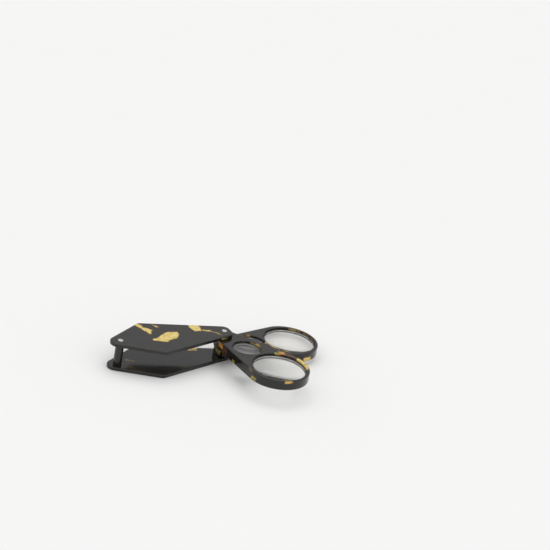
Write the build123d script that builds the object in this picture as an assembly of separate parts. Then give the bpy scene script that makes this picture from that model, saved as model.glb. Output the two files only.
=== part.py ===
from build123d import *
import math
import os

# Folding pocket loupe: two kite-shaped covers joined by a pivot rivet and a spacer post,
# and two leaves that swing out of the case about the pivot, each with a large and a small lens.
# Frame: origin on the pivot axis at the bottom face, +X from the pivot to the post, +Z up.

# Case
POST_X = 44.0            # pivot axis to post axis
CASE_HEIGHT = 11.1
COVER_THICK = 1.4
COVER_HALF_WIDTH = 12.0
WIDE_X = (31.0, 30.0)    # the two wide corners, on the -Y and the +Y side
WIDE_ROUND = 2.3         # rounding of the two wide corners
NARROW_ROUND = 2.8       # rounding of the pivot end
NARROW_SPREAD = 1.15     # the pivot end is blunt: two roundings this far off the axis
POST_END_X = 44.6
POST_END_ROUND = 3.3
COVER_EDGE = 0.3         # eased outer edges of the covers

# Rivets and spacer post
SHANK_R = 0.8
HEAD_R = 1.0
HEAD_DEPTH = 0.5
HEAD_DOME = 0.1
FIXED_CLEARANCE = 0.02   # a rivet in a cover or in the post
POST_R = 1.6

# Leaves, measured in a leaf's own plan: pivot at the origin, lenses along +X
LEAF_THICK = 3.8
LEAF_EDGE = 0.35
RING_X = 28.9            # pivot axis to the middle of the ring
RING_R = 12.05
BLUNT_X = 0.8            # the pivot end is blunt: two roundings, one each side of the axis
BLUNT_SPREAD = 2.0
BLUNT_ROUND = 2.8
PIVOT_CLEARANCE = 0.05
LARGE_X = 29.5           # pivot axis to the large lens, nearer the ring's tip
SMALL_X = 12.6           # pivot axis to the small lens
LARGE_BORE_R = 10.4
SMALL_BORE_R = 5.7
LEDGE = 0.4              # width of the ledge that a lens sits on
LEDGE_Z = 0.5            # height of the ledge above the leaf's lower face
BORE_EDGE = 0.2

# Lenses and their retaining rings
LENS_CLEARANCE = 0.1
LAND = 0.35              # flat rim around a lens
RIM_THICK = 2.4
LARGE_SAG = 0.4
SMALL_SAG = 0.4
RETAINER_THICK = 0.3
RETAINER_WIDTH = 0.4
RETAINER_CLEARANCE = 0.03

# Stack of the leaves and washers between the covers
LOWER_LEAF_Z = 1.75
UPPER_LEAF_Z = 5.75
WASHER_GAP = 0.03        # running gap between a washer and a leaf
WASHER_R = 2.6
WASHER_HOLE_R = 0.88

# How far each leaf is swung out of the case, from +X towards +Y
UPPER_LEAF_ANGLE = 107.6
LOWER_LEAF_ANGLE = 176.0


def hull(rounds):
    """The face that a string around circles of (x, y, radius) encloses."""
    return make_hull([edge for x, y, r in rounds for edge in (Pos(x, y) * Circle(r)).edges()])


def cover_outline():
    """Kite plan of a cover: the hull of its rounded corners."""
    wide_y = COVER_HALF_WIDTH - WIDE_ROUND
    corners = [
        (0, NARROW_SPREAD, NARROW_ROUND),
        (0, -NARROW_SPREAD, NARROW_ROUND),
        (WIDE_X[0], -wide_y, WIDE_ROUND),
        (WIDE_X[1], wide_y, WIDE_ROUND),
        (POST_END_X, 0, POST_END_ROUND),
    ]
    return hull(corners)


def ease(solid, z, radius):
    """Round the outer edges that lie at height z."""
    face = solid.faces().filter_by(Axis.Z).sort_by(lambda f: abs(f.center().Z - z))[0]
    return fillet(face.outer_wire().edges(), radius)


def cover(z, head_z):
    """One cover, with recesses for the rivets' heads from head_z up."""
    body = Pos(0, 0, z) * extrude(cover_outline(), COVER_THICK)
    body = ease(body, z, COVER_EDGE)
    body = ease(body, z + COVER_THICK, COVER_EDGE)
    for x in (0, POST_X):
        body -= Pos(x, 0, z) * drum(SHANK_R + FIXED_CLEARANCE, COVER_THICK)
        body -= Pos(x, 0, head_z) * drum(HEAD_R + FIXED_CLEARANCE, HEAD_DEPTH)
    return body


def drum(radius, height):
    """A cylinder that stands on its origin."""
    return Cylinder(radius, height, align=(Align.CENTER, Align.CENTER, Align.MIN))


def rivet(x):
    """A rivet through both covers: shank, flat lower head and slightly domed upper head."""
    body = Pos(x, 0, 0) * drum(SHANK_R, CASE_HEIGHT)
    body += Pos(x, 0, 0) * drum(HEAD_R, HEAD_DEPTH)
    head = drum(HEAD_R, HEAD_DEPTH + HEAD_DOME)
    head = fillet(head.edges().group_by(Axis.Z)[-1], HEAD_DOME)
    return body + Pos(x, 0, CASE_HEIGHT - HEAD_DEPTH) * head


def spacer_post():
    """The round post that holds the covers apart at the wide end."""
    height = CASE_HEIGHT - 2 * COVER_THICK
    tube = drum(POST_R, height) - drum(SHANK_R + FIXED_CLEARANCE, height)
    return Pos(POST_X, 0, COVER_THICK) * tube


def leaf_outline():
    """Plan of a leaf: the hull of its blunt pivot end and its ring."""
    rounds = [
        (BLUNT_X, BLUNT_SPREAD, BLUNT_ROUND),
        (BLUNT_X, -BLUNT_SPREAD, BLUNT_ROUND),
        (RING_X, 0, RING_R),
    ]
    return hull(rounds)


def lens_bore(x, radius):
    """The stepped hole that a lens drops into from above."""
    low = Pos(x, 0, 0) * drum(radius - LEDGE, LEAF_THICK)
    high = Pos(x, 0, LEDGE_Z) * drum(radius, LEAF_THICK - LEDGE_Z)
    lip = Pos(x, 0, LEAF_THICK - BORE_EDGE) * Cone(
        radius, radius + BORE_EDGE, BORE_EDGE, align=(Align.CENTER, Align.CENTER, Align.MIN)
    )
    return low + high + lip


def leaf():
    """A lens leaf in its own plan, lower face at z = 0."""
    body = extrude(leaf_outline(), LEAF_THICK)
    body = ease(body, 0, LEAF_EDGE)
    body = ease(body, LEAF_THICK, LEAF_EDGE)
    body -= drum(SHANK_R + PIVOT_CLEARANCE, LEAF_THICK)
    body -= lens_bore(LARGE_X, LARGE_BORE_R)
    body -= lens_bore(SMALL_X, SMALL_BORE_R)
    return body


def lens(x, bore_r, sag):
    """A biconvex lens with a flat rim, sitting on its ledge."""
    rim_r = bore_r - LENS_CLEARANCE
    crown_r = rim_r - LAND
    curve_r = (crown_r**2 + sag**2) / (2 * sag)
    drop = curve_r - math.sqrt(curve_r**2 - (crown_r / 2) ** 2)
    half = RIM_THICK / 2
    upper = ThreePointArc((0, half + sag), (crown_r / 2, half + sag - drop), (crown_r, half))
    rim = Polyline((crown_r, half), (rim_r, half), (rim_r, -half), (crown_r, -half))
    lower = ThreePointArc((crown_r, -half), (crown_r / 2, -half - sag + drop), (0, -half - sag))
    axis = Line((0, -half - sag), (0, half + sag))
    section = make_face(Curve() + [upper, rim, lower, axis])
    solid = revolve(Plane.XZ * section, Axis.Z)
    return Pos(x, 0, LEDGE_Z + half) * solid


def retainer(x, bore_r):
    """The ring that holds a lens down on its ledge."""
    outer_r = bore_r - RETAINER_CLEARANCE
    ring = drum(outer_r, RETAINER_THICK) - drum(outer_r - RETAINER_WIDTH, RETAINER_THICK)
    return Pos(x, 0, LEDGE_Z + RIM_THICK) * ring


def washer(low, high):
    """A thin washer around the pivot."""
    height = high - low
    return Pos(0, 0, low) * (drum(WASHER_R, height) - drum(WASHER_HOLE_R, height))


def swung(solid, z, angle):
    """A piece of a leaf, lifted to its level and swung out of the case."""
    return Pos(0, 0, z) * Rot(0, 0, angle) * solid


top_z = CASE_HEIGHT - COVER_THICK
nodes = {
    "bottom_cover": cover(0, 0),
    "top_cover": cover(top_z, CASE_HEIGHT - HEAD_DEPTH),
    "spacer_post": spacer_post(),
    "pivot_rivet": rivet(0),
    "post_rivet": rivet(POST_X),
    "lower_washer": washer(COVER_THICK, LOWER_LEAF_Z - WASHER_GAP),
    "middle_washer": washer(LOWER_LEAF_Z + LEAF_THICK + WASHER_GAP, UPPER_LEAF_Z - WASHER_GAP),
    "upper_washer": washer(UPPER_LEAF_Z + LEAF_THICK + WASHER_GAP, top_z),
}
for side, z, angle in (
    ("lower", LOWER_LEAF_Z, LOWER_LEAF_ANGLE),
    ("upper", UPPER_LEAF_Z, UPPER_LEAF_ANGLE),
):
    nodes[f"{side}_leaf"] = swung(leaf(), z, angle)
    for size, x, bore_r, sag in (
        ("large", LARGE_X, LARGE_BORE_R, LARGE_SAG),
        ("small", SMALL_X, SMALL_BORE_R, SMALL_SAG),
    ):
        nodes[f"{side}_{size}_lens"] = swung(lens(x, bore_r, sag), z, angle)
        nodes[f"{side}_{size}_retainer"] = swung(retainer(x, bore_r), z, angle)

os.makedirs("parts", exist_ok=True)
for name, solid in nodes.items():
    export_step(solid, f"parts/{name}.step")
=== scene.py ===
import math

import bmesh
import bpy
from mathutils import Matrix, Vector


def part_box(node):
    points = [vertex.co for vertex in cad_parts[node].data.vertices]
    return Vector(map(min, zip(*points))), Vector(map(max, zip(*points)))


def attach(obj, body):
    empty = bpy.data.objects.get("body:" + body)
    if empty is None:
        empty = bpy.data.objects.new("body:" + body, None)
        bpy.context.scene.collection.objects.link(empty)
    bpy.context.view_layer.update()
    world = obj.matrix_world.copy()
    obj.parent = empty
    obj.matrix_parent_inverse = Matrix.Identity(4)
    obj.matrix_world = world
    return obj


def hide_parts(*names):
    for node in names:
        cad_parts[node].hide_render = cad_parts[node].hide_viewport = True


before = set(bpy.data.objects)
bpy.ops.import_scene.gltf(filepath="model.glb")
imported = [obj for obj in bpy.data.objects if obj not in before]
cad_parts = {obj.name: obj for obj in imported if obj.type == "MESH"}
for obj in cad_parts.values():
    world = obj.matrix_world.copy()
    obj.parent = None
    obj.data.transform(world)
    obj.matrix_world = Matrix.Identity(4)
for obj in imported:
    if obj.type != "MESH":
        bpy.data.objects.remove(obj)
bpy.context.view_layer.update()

MM = 0.001
LEAF_Z = {"lower": 1.75, "upper": 5.75}         # lower face of each leaf, mm
LEAF_ANGLE = {"lower": 176.0, "upper": 107.6}   # how far each leaf is swung out, degrees

PLASTIC_IOR, GLASS_IOR = 1.5, 1.52

# the flecks' outlines wander and fray by up to about half of these, mm
FLECK_WANDER, FLECK_FRAY = 1.5, 0.55
# distances outside a fleck's outline, mm, between which each of its colours comes up
MARGIN_STARTS, MARGIN_FULL = 0.22, 0.0
INSIDE_STARTS, INSIDE_FULL = -0.02, -0.30

LENS_LAND = 0.35            # flat rim round a lens's curved face, mm
LENS_HALF_RIM = 1.2         # half of a lens's thickness at its rim, mm
LENS_CHAMFER = 0.08         # mm
LENS_STEPS = {"large": 144, "small": 96}        # sides round each lens
LENS_ROWS = 28              # rows from the middle of a curved face to its rim
LENS_SHARP_ANGLE = 12       # edges sharper than this stay sharp, degrees

FLOOR_HALF = 3.0            # half of the floor's side, m
FLOOR_DROP = 0.02           # how far the floor lies under the object, mm

# the sky is brighter towards one side: the cosine of the angle from it, against strength
BRIGHT_SIDE = Vector((0.45, 0.66, 0.6))
SKY_COSINE = (-0.15, 0.55)
SKY_STRENGTH = (0.63, 1.02)

SUN_TOWARDS = Vector((-0.17, -0.25, 0.95))
SUN_ENERGY, SUN_ANGLE = 0.82, 55                # the angle is its width in degrees

VIEW_AZIMUTH, VIEW_ELEVATION, VIEW_ROLL = 55.7, 22.93, 10.88    # degrees
VIEW_AIM = Vector((-20.1, -2.77, 32.18)) * MM
VIEW_DISTANCE = 560.35 * MM
FOCAL_LENGTH, SENSOR_WIDTH = 94.57, 36          # mm
CLIP_NEAR, CLIP_FAR = 0.01, 10                  # m


# ---------------------------------------------------------------- materials

class Graph:
    """Short calls for the nodes of one material."""

    def __init__(self, name):
        self.material = bpy.data.materials.new(name)
        self.material.use_nodes = True
        self.tree = self.material.node_tree
        self.tree.nodes.clear()
        out = self.node("ShaderNodeOutputMaterial")
        self.shader = self.node("ShaderNodeBsdfPrincipled")
        self.tree.links.new(self.shader.outputs["BSDF"], out.inputs["Surface"])
        coords = self.node("ShaderNodeTexCoord")
        self.place = coords.outputs["Object"]
        self.facing = coords.outputs["Normal"]

    def node(self, kind, **settings):
        made = self.tree.nodes.new(kind)
        for key, value in settings.items():
            setattr(made, key, value)
        return made

    def put(self, socket, value):
        if isinstance(value, bpy.types.NodeSocket):
            self.tree.links.new(value, socket)
        else:
            socket.default_value = value

    def set(self, name, value):
        self.put(self.shader.inputs[name], value)

    def math(self, operation, *values, clamp=False):
        made = self.node("ShaderNodeMath", operation=operation, use_clamp=clamp)
        for socket, value in zip(made.inputs, values):
            self.put(socket, value)
        return made.outputs[0]

    def vector(self, operation, *values):
        made = self.node("ShaderNodeVectorMath", operation=operation)
        for socket, value in zip(made.inputs, values):
            self.put(socket, value)
        return made.outputs["Value" if operation == "DOT_PRODUCT" else "Vector"]

    def scaled(self, vector, factor):
        made = self.node("ShaderNodeVectorMath", operation="SCALE")
        self.put(made.inputs[0], vector)
        self.put(made.inputs["Scale"], factor)
        return made.outputs["Vector"]

    def mapping(self, vector, location=(0, 0, 0), rotation=(0, 0, 0), scale=(1, 1, 1)):
        made = self.node("ShaderNodeMapping", vector_type="POINT")
        self.put(made.inputs["Vector"], vector)
        made.inputs["Location"].default_value = location
        made.inputs["Rotation"].default_value = rotation
        made.inputs["Scale"].default_value = scale
        return made.outputs["Vector"]

    def noise(self, scale, detail=2.0, rough=0.5, vector=None, output="Fac"):
        made = self.node("ShaderNodeTexNoise")
        self.put(made.inputs["Vector"], self.place if vector is None else vector)
        made.inputs["Scale"].default_value = scale
        made.inputs["Detail"].default_value = detail
        made.inputs["Roughness"].default_value = rough
        return made.outputs[output]

    def span(self, value, from_min, from_max, to_min=0.0, to_max=1.0, kind="SMOOTHSTEP"):
        made = self.node("ShaderNodeMapRange", interpolation_type=kind)
        for name, number in (
            ("Value", value), ("From Min", from_min), ("From Max", from_max),
            ("To Min", to_min), ("To Max", to_max),
        ):
            self.put(made.inputs[name], number)
        return made.outputs["Result"]

    def ramp(self, value, stops):
        made = self.node("ShaderNodeValToRGB")
        self.put(made.inputs["Fac"], value)
        elements = made.color_ramp.elements
        while len(elements) < len(stops):
            elements.new(0.5)
        for element, (position, colour) in zip(elements, stops):
            element.position = position
            element.color = (*colour, 1)
        return made.outputs["Color"]

    def mix(self, factor, a, b):
        made = self.node("ShaderNodeMix", data_type="RGBA")
        self.put(made.inputs[0], factor)
        for socket, value in ((made.inputs[6], a), (made.inputs[7], b)):
            self.put(socket, value if isinstance(value, bpy.types.NodeSocket) else (*value, 1))
        return made.outputs[2]

    def bump(self, height, distance, normal=None):
        made = self.node("ShaderNodeBump")
        made.inputs["Strength"].default_value = 1.0
        made.inputs["Distance"].default_value = distance
        self.put(made.inputs["Height"], height)
        if normal is not None:
            self.put(made.inputs["Normal"], normal)
        return made.outputs["Normal"]

    def scratches(self, turns, length=9.0, width=0.05, share=0.66):
        """0 to 1, high on sparse hairlines that run at each of these turns, in degrees.
        Length and width are in mm, and a higher share leaves fewer hairlines."""
        total = None
        for number, turn in enumerate(turns):
            along = self.mapping(
                self.place,
                location=(0.013 * number, 0.07, 0.02),
                rotation=(0.3 * number, 0.2, math.radians(turn)),
            )
            across = 1 / (width * MM)
            stretched = self.mapping(along, scale=(1 / (length * MM), across, across))
            line = self.span(self.noise(1.0, 1.0, 0.4, stretched), share, share + 0.09)
            total = line if total is None else self.math("MAXIMUM", total, line)
        return total


def outside(graph, place, flecks):
    """How far a point is outside the nearest of these flecks, in mm, and less than 0 inside one.
    A fleck is (low z, high z, corners) in mm, the corners (x, y) going round a convex outline."""
    point = graph.scaled(place, 1 / MM)
    height = graph.node("ShaderNodeSeparateXYZ")
    graph.put(height.inputs[0], point)
    nearest = None
    for low, high, corners in flecks:
        middle = Vector((sum(x for x, y in corners), sum(y for x, y in corners))) / len(corners)
        beyond = graph.math("ABSOLUTE", graph.math("SUBTRACT", height.outputs["Z"], (low + high) / 2))
        beyond = graph.math("SUBTRACT", beyond, (high - low) / 2)
        for start, end in zip(corners, corners[1:] + corners[:1]):
            start, end = Vector(start), Vector(end)
            normal = Vector((end.y - start.y, start.x - end.x)).normalized()
            if normal.dot(middle - start) > 0:
                normal = -normal
            side = graph.vector("DOT_PRODUCT", point, (normal.x, normal.y, 0))
            beyond = graph.math("MAXIMUM", beyond, graph.math("SUBTRACT", side, normal.dot(start)))
        nearest = beyond if nearest is None else graph.math("MINIMUM", nearest, beyond)
    return nearest


def tortoiseshell(name, flecks, seed):
    """Near-black polished plastic with gold, orange, olive and maroon flecks in it."""
    g = Graph(name)
    shifted = g.mapping(g.place, location=(seed * 0.031, seed * 0.017, seed * 0.023))
    wander = g.vector("SUBTRACT", g.noise(330, 2.0, 0.55, shifted, "Color"), (0.5, 0.5, 0.5))
    fray = g.vector("SUBTRACT", g.noise(2100, 2.0, 0.6, shifted, "Color"), (0.5, 0.5, 0.5))
    warped = g.vector("ADD", g.place, g.scaled(wander, FLECK_WANDER * MM))
    warped = g.vector("ADD", warped, g.scaled(fray, FLECK_FRAY * MM))

    body = g.ramp(
        g.noise(260, 3.0, 0.6, shifted),
        [
            (0.35, (0.0068, 0.0060, 0.0058)),
            (0.62, (0.0105, 0.0083, 0.0070)),
            (0.80, (0.0180, 0.0120, 0.0080)),
        ],
    )
    cloud = g.noise(620, 3.0, 0.55, shifted)
    patchy = g.span(cloud, 0.36, 0.66)
    for tint in ("maroon", "olive", "orange", "gold"):
        if tint not in flecks:
            continue
        margin, deep, pale = FLECK_COLOURS[tint]
        away = outside(g, warped, flecks[tint])
        body = g.mix(g.span(away, MARGIN_STARTS, MARGIN_FULL), body, margin)
        body = g.mix(g.span(away, INSIDE_STARTS, INSIDE_FULL), body, g.mix(patchy, deep, pale))

    flat = g.math("ABSOLUTE", g.vector("DOT_PRODUCT", g.facing, (0, 0, 1)))
    edge = g.math("MULTIPLY", g.span(flat, 0.12, 0.45), g.span(flat, 0.995, 0.80))
    worn = g.math("MULTIPLY", edge, g.span(g.noise(900, 3.0, 0.6), 0.44, 0.62))
    hairs = g.scratches((12, 71, 128))
    smear = g.noise(110, 3.0, 0.55, shifted)

    rough = g.span(smear, 0.35, 0.70, 0.075, 0.15, "LINEAR")
    rough = g.math("ADD", rough, g.math("MULTIPLY", worn, 0.16))
    rough = g.math("ADD", rough, g.math("MULTIPLY", hairs, 0.12), clamp=True)
    body = g.mix(g.math("MULTIPLY", worn, 0.16), body, (0.09, 0.08, 0.07))
    body = g.mix(g.math("MULTIPLY", hairs, 0.08), body, (0.10, 0.09, 0.08))
    g.set("Base Color", body)
    g.set("Roughness", rough)
    g.set("IOR", PLASTIC_IOR)
    normal = g.bump(g.noise(95, 1.0, 0.4, shifted), 0.045 * MM)
    normal = g.bump(g.noise(2600, 3.0, 0.6), 0.0016 * MM, normal)
    normal = g.bump(hairs, -0.0012 * MM, normal)
    g.set("Normal", normal)
    return g.material


def turned_plastic(name):
    """Black plastic rod, cut off and turned, with faint rings round its axis."""
    g = Graph(name)
    rings = g.noise(1.0, 2.0, 0.6, g.mapping(g.place, scale=(120, 120, 9000)))
    tone = g.noise(500, 3.0, 0.6)
    g.set("Base Color", g.mix(tone, (0.008, 0.0075, 0.0075), (0.018, 0.0155, 0.014)))
    uneven = g.math("ADD", g.math("MULTIPLY", rings, 0.6), g.math("MULTIPLY", tone, 0.4))
    g.set("Roughness", g.span(uneven, 0.3, 0.7, 0.12, 0.24, "LINEAR"))
    g.set("IOR", PLASTIC_IOR)
    g.set("Normal", g.bump(rings, 0.004 * MM))
    return g.material


def rivet_steel(name):
    """Bright plated steel, with the marks of the riveting tool."""
    g = Graph(name)
    tone = g.noise(1500, 3.0, 0.6)
    hairs = g.scratches((35, 96), length=1.6, width=0.03, share=0.60)
    g.set("Base Color", g.mix(tone, (0.66, 0.64, 0.60), (0.82, 0.80, 0.77)))
    g.set("Metallic", 1.0)
    polish = g.span(tone, 0.3, 0.7, 0.16, 0.30, "LINEAR")
    g.set("Roughness", g.math("ADD", polish, g.math("MULTIPLY", hairs, 0.18)))
    normal = g.bump(g.noise(1100, 1.0, 0.4), 0.018 * MM)
    g.set("Normal", g.bump(hairs, -0.003 * MM, normal))
    return g.material


def washer_plastic(name):
    """Dark waxy washer stock with a fine moulded grain."""
    g = Graph(name)
    grain = g.noise(4200, 3.0, 0.65)
    g.set("Base Color", g.mix(g.noise(600, 3.0, 0.6), (0.022, 0.021, 0.020), (0.045, 0.042, 0.038)))
    g.set("Roughness", g.span(grain, 0.3, 0.7, 0.42, 0.62, "LINEAR"))
    g.set("Normal", g.bump(grain, 0.006 * MM))
    return g.material


def retainer_metal(name):
    """Blackened spring metal, rubbed a little brighter in places."""
    g = Graph(name)
    tone = g.noise(900, 3.0, 0.6)
    rub = g.span(g.noise(2300, 3.0, 0.6), 0.56, 0.74)
    black = g.mix(tone, (0.010, 0.009, 0.0085), (0.022, 0.019, 0.017))
    g.set("Base Color", g.mix(rub, black, (0.060, 0.052, 0.045)))
    g.set("Metallic", 0.2)
    g.set("Roughness", g.span(tone, 0.3, 0.7, 0.36, 0.50, "LINEAR"))
    g.set("Normal", g.bump(g.noise(3800, 2.0, 0.6), 0.004 * MM))
    return g.material


def lens_glass(name):
    """Clear glass with the faintest film of handling on it."""
    g = Graph(name)
    film = g.noise(210, 4.0, 0.6)
    g.set("Base Color", g.mix(film, (0.985, 0.98, 0.955), (0.965, 0.965, 0.935)))
    g.set("Roughness", g.span(film, 0.55, 0.80, 0.0, 0.035))
    g.set("IOR", GLASS_IOR)
    g.set("Transmission Weight", 1.0)
    g.set("Normal", g.bump(g.noise(60, 1.0, 0.4), 0.001 * MM))
    return g.material


def ground_glass(name):
    """The ground edge of a lens."""
    g = Graph(name)
    grit = g.noise(9000, 3.0, 0.7)
    g.set("Base Color", g.mix(grit, (0.80, 0.82, 0.81), (0.92, 0.93, 0.92)))
    g.set("Roughness", g.span(grit, 0.3, 0.7, 0.38, 0.6, "LINEAR"))
    g.set("IOR", GLASS_IOR)
    g.set("Transmission Weight", 0.85)
    g.set("Normal", g.bump(grit, 0.006 * MM))
    return g.material


# ---------------------------------------------------------------- flecks

# each tint's thin margin, and its deeper and paler colour inside
FLECK_COLOURS = {
    "gold": ((0.34, 0.19, 0.040), (0.57, 0.41, 0.085), (0.72, 0.58, 0.21)),
    "orange": ((0.15, 0.045, 0.008), (0.42, 0.19, 0.022), (0.56, 0.33, 0.085)),
    "olive": ((0.050, 0.036, 0.007), (0.17, 0.135, 0.014), (0.36, 0.29, 0.045)),
    "maroon": ((0.016, 0.009, 0.008), (0.045, 0.016, 0.012), (0.075, 0.030, 0.020)),
}


def on_leaf(side, flecks):
    """Flecks given in a leaf's own plan, with heights from its lower face, turned to where
    the leaf is at rest."""
    angle = math.radians(LEAF_ANGLE[side])
    turned = {}
    for tint, rows in flecks.items():
        turned[tint] = [
            (
                LEAF_Z[side] + low, LEAF_Z[side] + high,
                [
                    (
                        u * math.cos(angle) - v * math.sin(angle),
                        u * math.sin(angle) + v * math.cos(angle),
                    )
                    for u, v in corners
                ],
            )
            for low, high, corners in rows
        ]
    return turned


# low z, high z, and corners (x, y), in mm
TOP_COVER_FLECKS = {
    "gold": [
        (9.0, 12.0, [(31.6, -12.4), (31.2, -9.9), (30.2, -7.8), (32.3, -8.1), (33.4, -10.4), (33.3, -12.4)]),
        (9.0, 12.0, [(30.5, -8.0), (28.6, -5.7), (29.4, -4.3), (31.6, -5.2), (32.5, -8.0)]),
        (9.0, 12.0, [(29.2, -4.9), (29.8, -2.9), (30.6, -2.3), (31.1, -3.4), (31.3, -5.4)]),
        (10.3, 12.0, [(26.5, -9.6), (25.2, -8.7), (24.6, -7.3), (25.8, -7.6)]),
        (10.2, 12.0, [(28.3, 0.0), (25.0, -2.1), (23.4, 2.3), (26.7, 4.5), (28.3, 3.8)]),
        (10.2, 12.0, [(28.0, -0.1), (28.0, 3.8), (31.3, 2.6), (31.5, 1.7)]),
        (10.2, 12.0, [(25.2, -2.2), (23.0, -2.9), (19.1, -2.5), (19.4, -0.2), (21.9, 2.5), (24.0, 2.5)]),
        (9.0, 12.0, [(13.3, -7.9), (8.2, -6.5), (9.1, -1.5), (13.2, -1.8), (12.7, -5.2)]),
        (10.6, 12.0, [(8.7, -2.5), (8.3, -1.3), (5.6, -0.1), (5.4, -1.2)]),
    ],
    "olive": [
        (10.7, 12.0, [(5.5, -1.1), (3.0, 1.8), (2.4, 3.3), (3.6, 2.7), (5.8, -0.1)]),
        (9.4, 10.8, [(0.8, 3.0), (3.4, 3.0), (3.6, 6.4), (1.0, 5.4)]),
        (9.2, 10.0, [(16.5, 1.0), (23.0, 3.0), (22.5, 6.0), (16.0, 4.5)]),
        (9.2, 10.0, [(33.5, 0.0), (38.5, -3.0), (39.5, 1.0), (34.5, 4.0)]),
    ],
    "orange": [
        (9.3, 10.0, [(25.0, 1.5), (28.0, 0.0), (29.5, 4.5), (26.5, 5.5)]),
    ],
}
BOTTOM_COVER_FLECKS = {
    "gold": [
        (0.2, 1.8, [(11.3, -6.9), (7.3, -6.2), (8.6, -3.8), (12.3, -4.2)]),
        (-0.5, 0.7, [(15.0, 0.5), (20.5, 2.0), (22.5, 5.5), (17.0, 4.6)]),
        (-0.5, 0.7, [(28.6, -6.8), (31.0, -7.5), (32.6, -3.0), (30.8, -0.6), (28.4, -2.6)]),
    ],
    "olive": [
        (0.5, 1.8, [(39.4, -2.5), (36.4, -0.9), (36.8, 0.2), (39.8, -1.5)]),
        (-0.5, 0.7, [(2.5, -2.2), (6.0, 0.6), (5.2, 2.0), (1.6, -0.2)]),
        (-0.5, 1.0, [(35.5, 4.5), (39.0, 1.5), (40.5, 3.5), (37.0, 6.5)]),
    ],
}
UPPER_LEAF_FLECKS = on_leaf("upper", {
    "gold": [
        (1.9, 3.5, [(9.4, 5.4), (12.0, 3.8), (14.9, 3.5), (15.2, 5.4), (12.4, 6.6), (9.6, 7.0)]),
        (2.2, 4.2, [(28.6, 10.5), (33.6, 8.2), (34.6, 12.5), (28.2, 13.0)]),
        (2.2, 4.2, [(33.4, 8.4), (35.2, 6.6), (36.6, 8.2), (34.4, 12.0)]),
        (3.0, 3.7, [(37.4, -7.2), (40.2, -4.4), (41.5, -3.6), (41.5, -6.7)]),
    ],
    "orange": [
        (2.6, 4.2, [(20.4, 8.6), (22.4, 7.8), (24.4, 9.3), (22.2, 10.9)]),
        (1.9, 3.5, [(14.6, 4.6), (16.4, 2.8), (17.6, 4.0), (15.6, 5.8)]),
        (1.6, 3.5, [(2.8, -4.6), (5.6, -5.2), (6.0, -7.4), (2.8, -6.8)]),
    ],
    "olive": [
        (0.1, 1.4, [(13.0, -7.1), (14.9, -7.6), (15.1, -9.5), (13.2, -9.0)]),
        (0.1, 1.7, [(26.2, -10.8), (28.9, -11.2), (29.2, -13.2), (26.4, -12.8)]),
        (3.1, 4.2, [(23.8, -10.7), (26.2, -11.6), (26.6, -12.2), (24.0, -11.3)]),
        (2.6, 4.2, [(20.4, 7.2), (22.8, 4.9), (24.7, 6.2), (22.6, 8.8)]),
        (2.6, 4.2, [(17.4, 9.0), (21.8, 10.2), (29.0, 11.5), (29.0, 13.0), (17.2, 10.6)]),
    ],
    "maroon": [
        (1.0, 4.2, [(23.6, 6.8), (29.6, 9.2), (29.8, 11.6), (27.0, 12.2), (23.4, 10.4)]),
        (2.0, 3.5, [(15.0, 2.6), (17.6, 2.2), (18.4, 5.4), (15.4, 5.6)]),
        (0.2, 3.0, [(4.8, -5.4), (8.8, -6.2), (8.8, -8.4), (4.8, -7.4)]),
    ],
})
LOWER_LEAF_FLECKS = on_leaf("lower", {
    "gold": [
        (2.2, 3.6, [(10.9, 4.4), (11.6, 7.0), (14.4, 6.2), (14.9, 4.0), (13.4, 3.6)]),
        (2.2, 4.2, [(16.2, 0.9), (17.6, 0.6), (18.9, -2.1), (17.8, -2.4)]),
        (2.0, 4.2, [(18.8, -1.9), (20.2, -2.2), (22.6, -6.9), (21.4, -7.3), (19.4, -4.6)]),
        (1.2, 3.6, [(33.2, 9.2), (34.9, 9.6), (37.8, 6.6), (37.0, 5.4), (34.0, 7.9)]),
        (1.2, 3.4, [(37.6, 5.6), (38.9, 5.6), (40.2, 1.4), (39.6, -3.4), (38.6, -3.2)]),
        (0.2, 1.8, [(30.2, -10.2), (33.9, -10.2), (34.1, -12.4), (30.4, -13.2)]),
    ],
    "orange": [
        (1.4, 3.0, [(31.2, 9.4), (33.0, 8.4), (33.8, 9.8), (32.0, 10.6)]),
        (1.5, 3.6, [(-1.0, -3.6), (1.2, -3.8), (1.4, -5.8), (-1.4, -5.6)]),
        (1.6, 3.4, [(39.4, 1.2), (40.6, 1.2), (40.6, -1.6), (39.4, -1.6)]),
    ],
    "olive": [
        (0.3, 3.5, [(-2.8, -3.4), (-1.2, -3.2), (-0.8, 0.8), (-2.8, 1.0)]),
        (-0.5, 1.0, [(6.8, 4.2), (10.0, 5.6), (9.6, 7.6), (6.4, 6.0)]),
        (1.4, 4.2, [(21.6, -7.0), (23.4, -7.6), (25.0, -10.4), (22.6, -9.8)]),
    ],
    "maroon": [
        (1.2, 4.2, [(14.6, 5.8), (17.6, 2.4), (16.8, -0.4), (13.2, 3.2)]),
    ],
})


# ---------------------------------------------------------------- pieces

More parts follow.
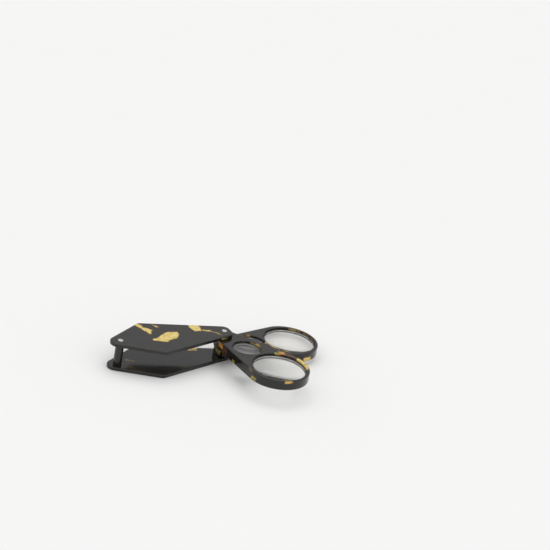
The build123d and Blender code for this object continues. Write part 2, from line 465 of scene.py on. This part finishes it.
def lathe(name, profile, centre, steps):
    """A turned piece. Its profile is (radius, z) from the top of its axis to the bottom, and
    its axis stands at centre."""
    mesh = bpy.data.meshes.new(name)
    bm = bmesh.new()
    rows = []
    for radius, z in profile:
        if radius < 1e-9:
            rows.append([bm.verts.new((centre.x, centre.y, z))])
        else:
            rows.append([
                bm.verts.new((
                    centre.x + radius * math.cos(math.tau * i / steps),
                    centre.y + radius * math.sin(math.tau * i / steps),
                    z,
                ))
                for i in range(steps)
            ])
    for upper, lower in zip(rows, rows[1:]):
        for i in range(steps):
            j = (i + 1) % steps
            ring = [
                upper[i % len(upper)], lower[i % len(lower)],
                lower[j % len(lower)], upper[j % len(upper)],
            ]
            ring = list(dict.fromkeys(ring))    # a triangle where one row is a single point
            if len(ring) > 2:
                bm.faces.new(ring)
    bmesh.ops.recalc_face_normals(bm, faces=bm.faces)
    bm.to_mesh(mesh)
    bm.free()
    piece = bpy.data.objects.new(name, mesh)
    bpy.context.scene.collection.objects.link(piece)
    for polygon in mesh.polygons:
        polygon.use_smooth = True
    mesh.set_sharp_from_angle(angle=math.radians(LENS_SHARP_ANGLE))
    return piece


def cap(crown_r, sag, rim_z, sign):
    """Points of one curved face from its middle to its rim, as (radius, z). It rises by sag
    from rim_z, up where sign is 1 and down where it is -1."""
    curve_r = (crown_r**2 + sag**2) / (2 * sag)
    points = []
    for row in range(LENS_ROWS + 1):
        radius = crown_r * row / LENS_ROWS
        rise = math.sqrt(curve_r**2 - radius**2) - (curve_r - sag)
        points.append((radius, rim_z + sign * rise))
    return points


def build_lens(side, size, glass, ground):
    """A smooth biconvex lens with a flat land and a ground edge, where the CAD lens is."""
    node = f"{side}_{size}_lens"
    low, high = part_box(node)
    centre = (low + high) / 2
    rim_r = (high.x - low.x) / 2
    land, half_rim, chamfer = LENS_LAND * MM, LENS_HALF_RIM * MM, LENS_CHAMFER * MM
    crown_r = rim_r - land
    sag = (high.z - low.z) / 2 - half_rim
    top = cap(crown_r, sag, centre.z + half_rim, 1)
    bottom = cap(crown_r, sag, centre.z - half_rim, -1)[::-1]
    edge = [
        (rim_r - chamfer, centre.z + half_rim), (rim_r, centre.z + half_rim - chamfer),
        (rim_r, centre.z - half_rim + chamfer), (rim_r - chamfer, centre.z - half_rim),
    ]
    piece = lathe(f"{side}_{size}_lens_glass", top + edge + bottom, centre, LENS_STEPS[size])
    piece.data.materials.append(glass)
    piece.data.materials.append(ground)
    for polygon in piece.data.polygons:
        middle = polygon.center
        if math.hypot(middle.x - centre.x, middle.y - centre.y) > rim_r - chamfer:
            polygon.material_index = 1
    # the renderer loses most of the light that it sends through thick glass, so the floor
    # behind a lens takes its light as if the lens weren't there
    piece.visible_shadow = False
    piece.visible_diffuse = False
    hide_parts(node)
    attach(piece, f"{side}_leaf_body")


# ---------------------------------------------------------------- build

finishes = {
    "top_cover": tortoiseshell("tortoiseshell_top", TOP_COVER_FLECKS, 1),
    "bottom_cover": tortoiseshell("tortoiseshell_bottom", BOTTOM_COVER_FLECKS, 2),
    "upper_leaf": tortoiseshell("tortoiseshell_upper_leaf", UPPER_LEAF_FLECKS, 3),
    "lower_leaf": tortoiseshell("tortoiseshell_lower_leaf", LOWER_LEAF_FLECKS, 4),
}
post, steel = turned_plastic("post_plastic"), rivet_steel("rivet_steel")
washer, retainer = washer_plastic("washer_plastic"), retainer_metal("retainer_metal")
for ending, material in (("_rivet", steel), ("_washer", washer), ("_retainer", retainer)):
    finishes.update({node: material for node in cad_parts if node.endswith(ending)})
finishes["spacer_post"] = post
for node, material in finishes.items():
    for material_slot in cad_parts[node].material_slots:
        material_slot.material = material

glass, ground = lens_glass("lens_glass"), ground_glass("lens_edge")
for side in ("lower", "upper"):
    for size in ("large", "small"):
        build_lens(side, size, glass, ground)


# ---------------------------------------------------------------- stage, light and camera

mesh = bpy.data.meshes.new("floor")
corners = [(x * FLOOR_HALF, y * FLOOR_HALF, 0) for x, y in ((-1, -1), (1, -1), (1, 1), (-1, 1))]
mesh.from_pydata(corners, [], [(0, 1, 2, 3)])
floor = bpy.data.objects.new("floor", mesh)
floor.location.z = -FLOOR_DROP * MM
bpy.context.scene.collection.objects.link(floor)
g = Graph("floor_card")
g.set("Base Color", g.mix(g.noise(30, 2.0), (0.80, 0.80, 0.795), (0.815, 0.813, 0.81)))
g.set("Roughness", 0.9)
g.set("Specular IOR Level", 0.2)
mesh.materials.append(g.material)

world = bpy.data.worlds.new("studio")
world.use_nodes = True
tree = world.node_tree
tree.nodes.clear()
sky_out = tree.nodes.new("ShaderNodeOutputWorld")
sky = tree.nodes.new("ShaderNodeBackground")
sky.inputs["Color"].default_value = (1.0, 1.0, 1.0, 1)
direction = tree.nodes.new("ShaderNodeTexCoord")
towards = tree.nodes.new("ShaderNodeVectorMath")
towards.operation = "DOT_PRODUCT"
towards.inputs[1].default_value = BRIGHT_SIDE.normalized()
fade = tree.nodes.new("ShaderNodeMapRange")
fade.interpolation_type = "SMOOTHSTEP"
fade.inputs["From Min"].default_value, fade.inputs["From Max"].default_value = SKY_COSINE
fade.inputs["To Min"].default_value, fade.inputs["To Max"].default_value = SKY_STRENGTH
tree.links.new(direction.outputs["Generated"], towards.inputs[0])
tree.links.new(towards.outputs["Value"], fade.inputs["Value"])
tree.links.new(fade.outputs["Result"], sky.inputs["Strength"])
tree.links.new(sky.outputs["Background"], sky_out.inputs["Surface"])
bpy.context.scene.world = world

sun = bpy.data.lights.new("soft_key", "SUN")
sun.energy = SUN_ENERGY
sun.angle = math.radians(SUN_ANGLE)
key = bpy.data.objects.new("soft_key", sun)
key.rotation_mode = "QUATERNION"
key.rotation_quaternion = SUN_TOWARDS.to_track_quat("Z", "Y")
bpy.context.scene.collection.objects.link(key)

azimuth, elevation, roll = (math.radians(x) for x in (VIEW_AZIMUTH, VIEW_ELEVATION, VIEW_ROLL))
back = Vector((
    math.cos(elevation) * math.cos(azimuth),
    math.cos(elevation) * math.sin(azimuth),
    math.sin(elevation),
))
level_right = (-back).cross(Vector((0, 0, 1))).normalized()
level_up = level_right.cross(-back)
right = math.cos(roll) * level_right + math.sin(roll) * level_up
up = math.cos(roll) * level_up - math.sin(roll) * level_right
optics = bpy.data.cameras.new("camera")
optics.lens = FOCAL_LENGTH
optics.sensor_width = SENSOR_WIDTH
optics.clip_start, optics.clip_end = CLIP_NEAR, CLIP_FAR
camera = bpy.data.objects.new("camera", optics)
placing = Matrix((right, up, back)).transposed().to_4x4()
placing.translation = VIEW_AIM + back * VIEW_DISTANCE
camera.matrix_world = placing
bpy.context.scene.collection.objects.link(camera)
bpy.context.scene.camera = camera

view = bpy.context.scene.view_settings
view.view_transform = "Standard"
view.look = "None"
view.exposure = 0.0
view.gamma = 1.0
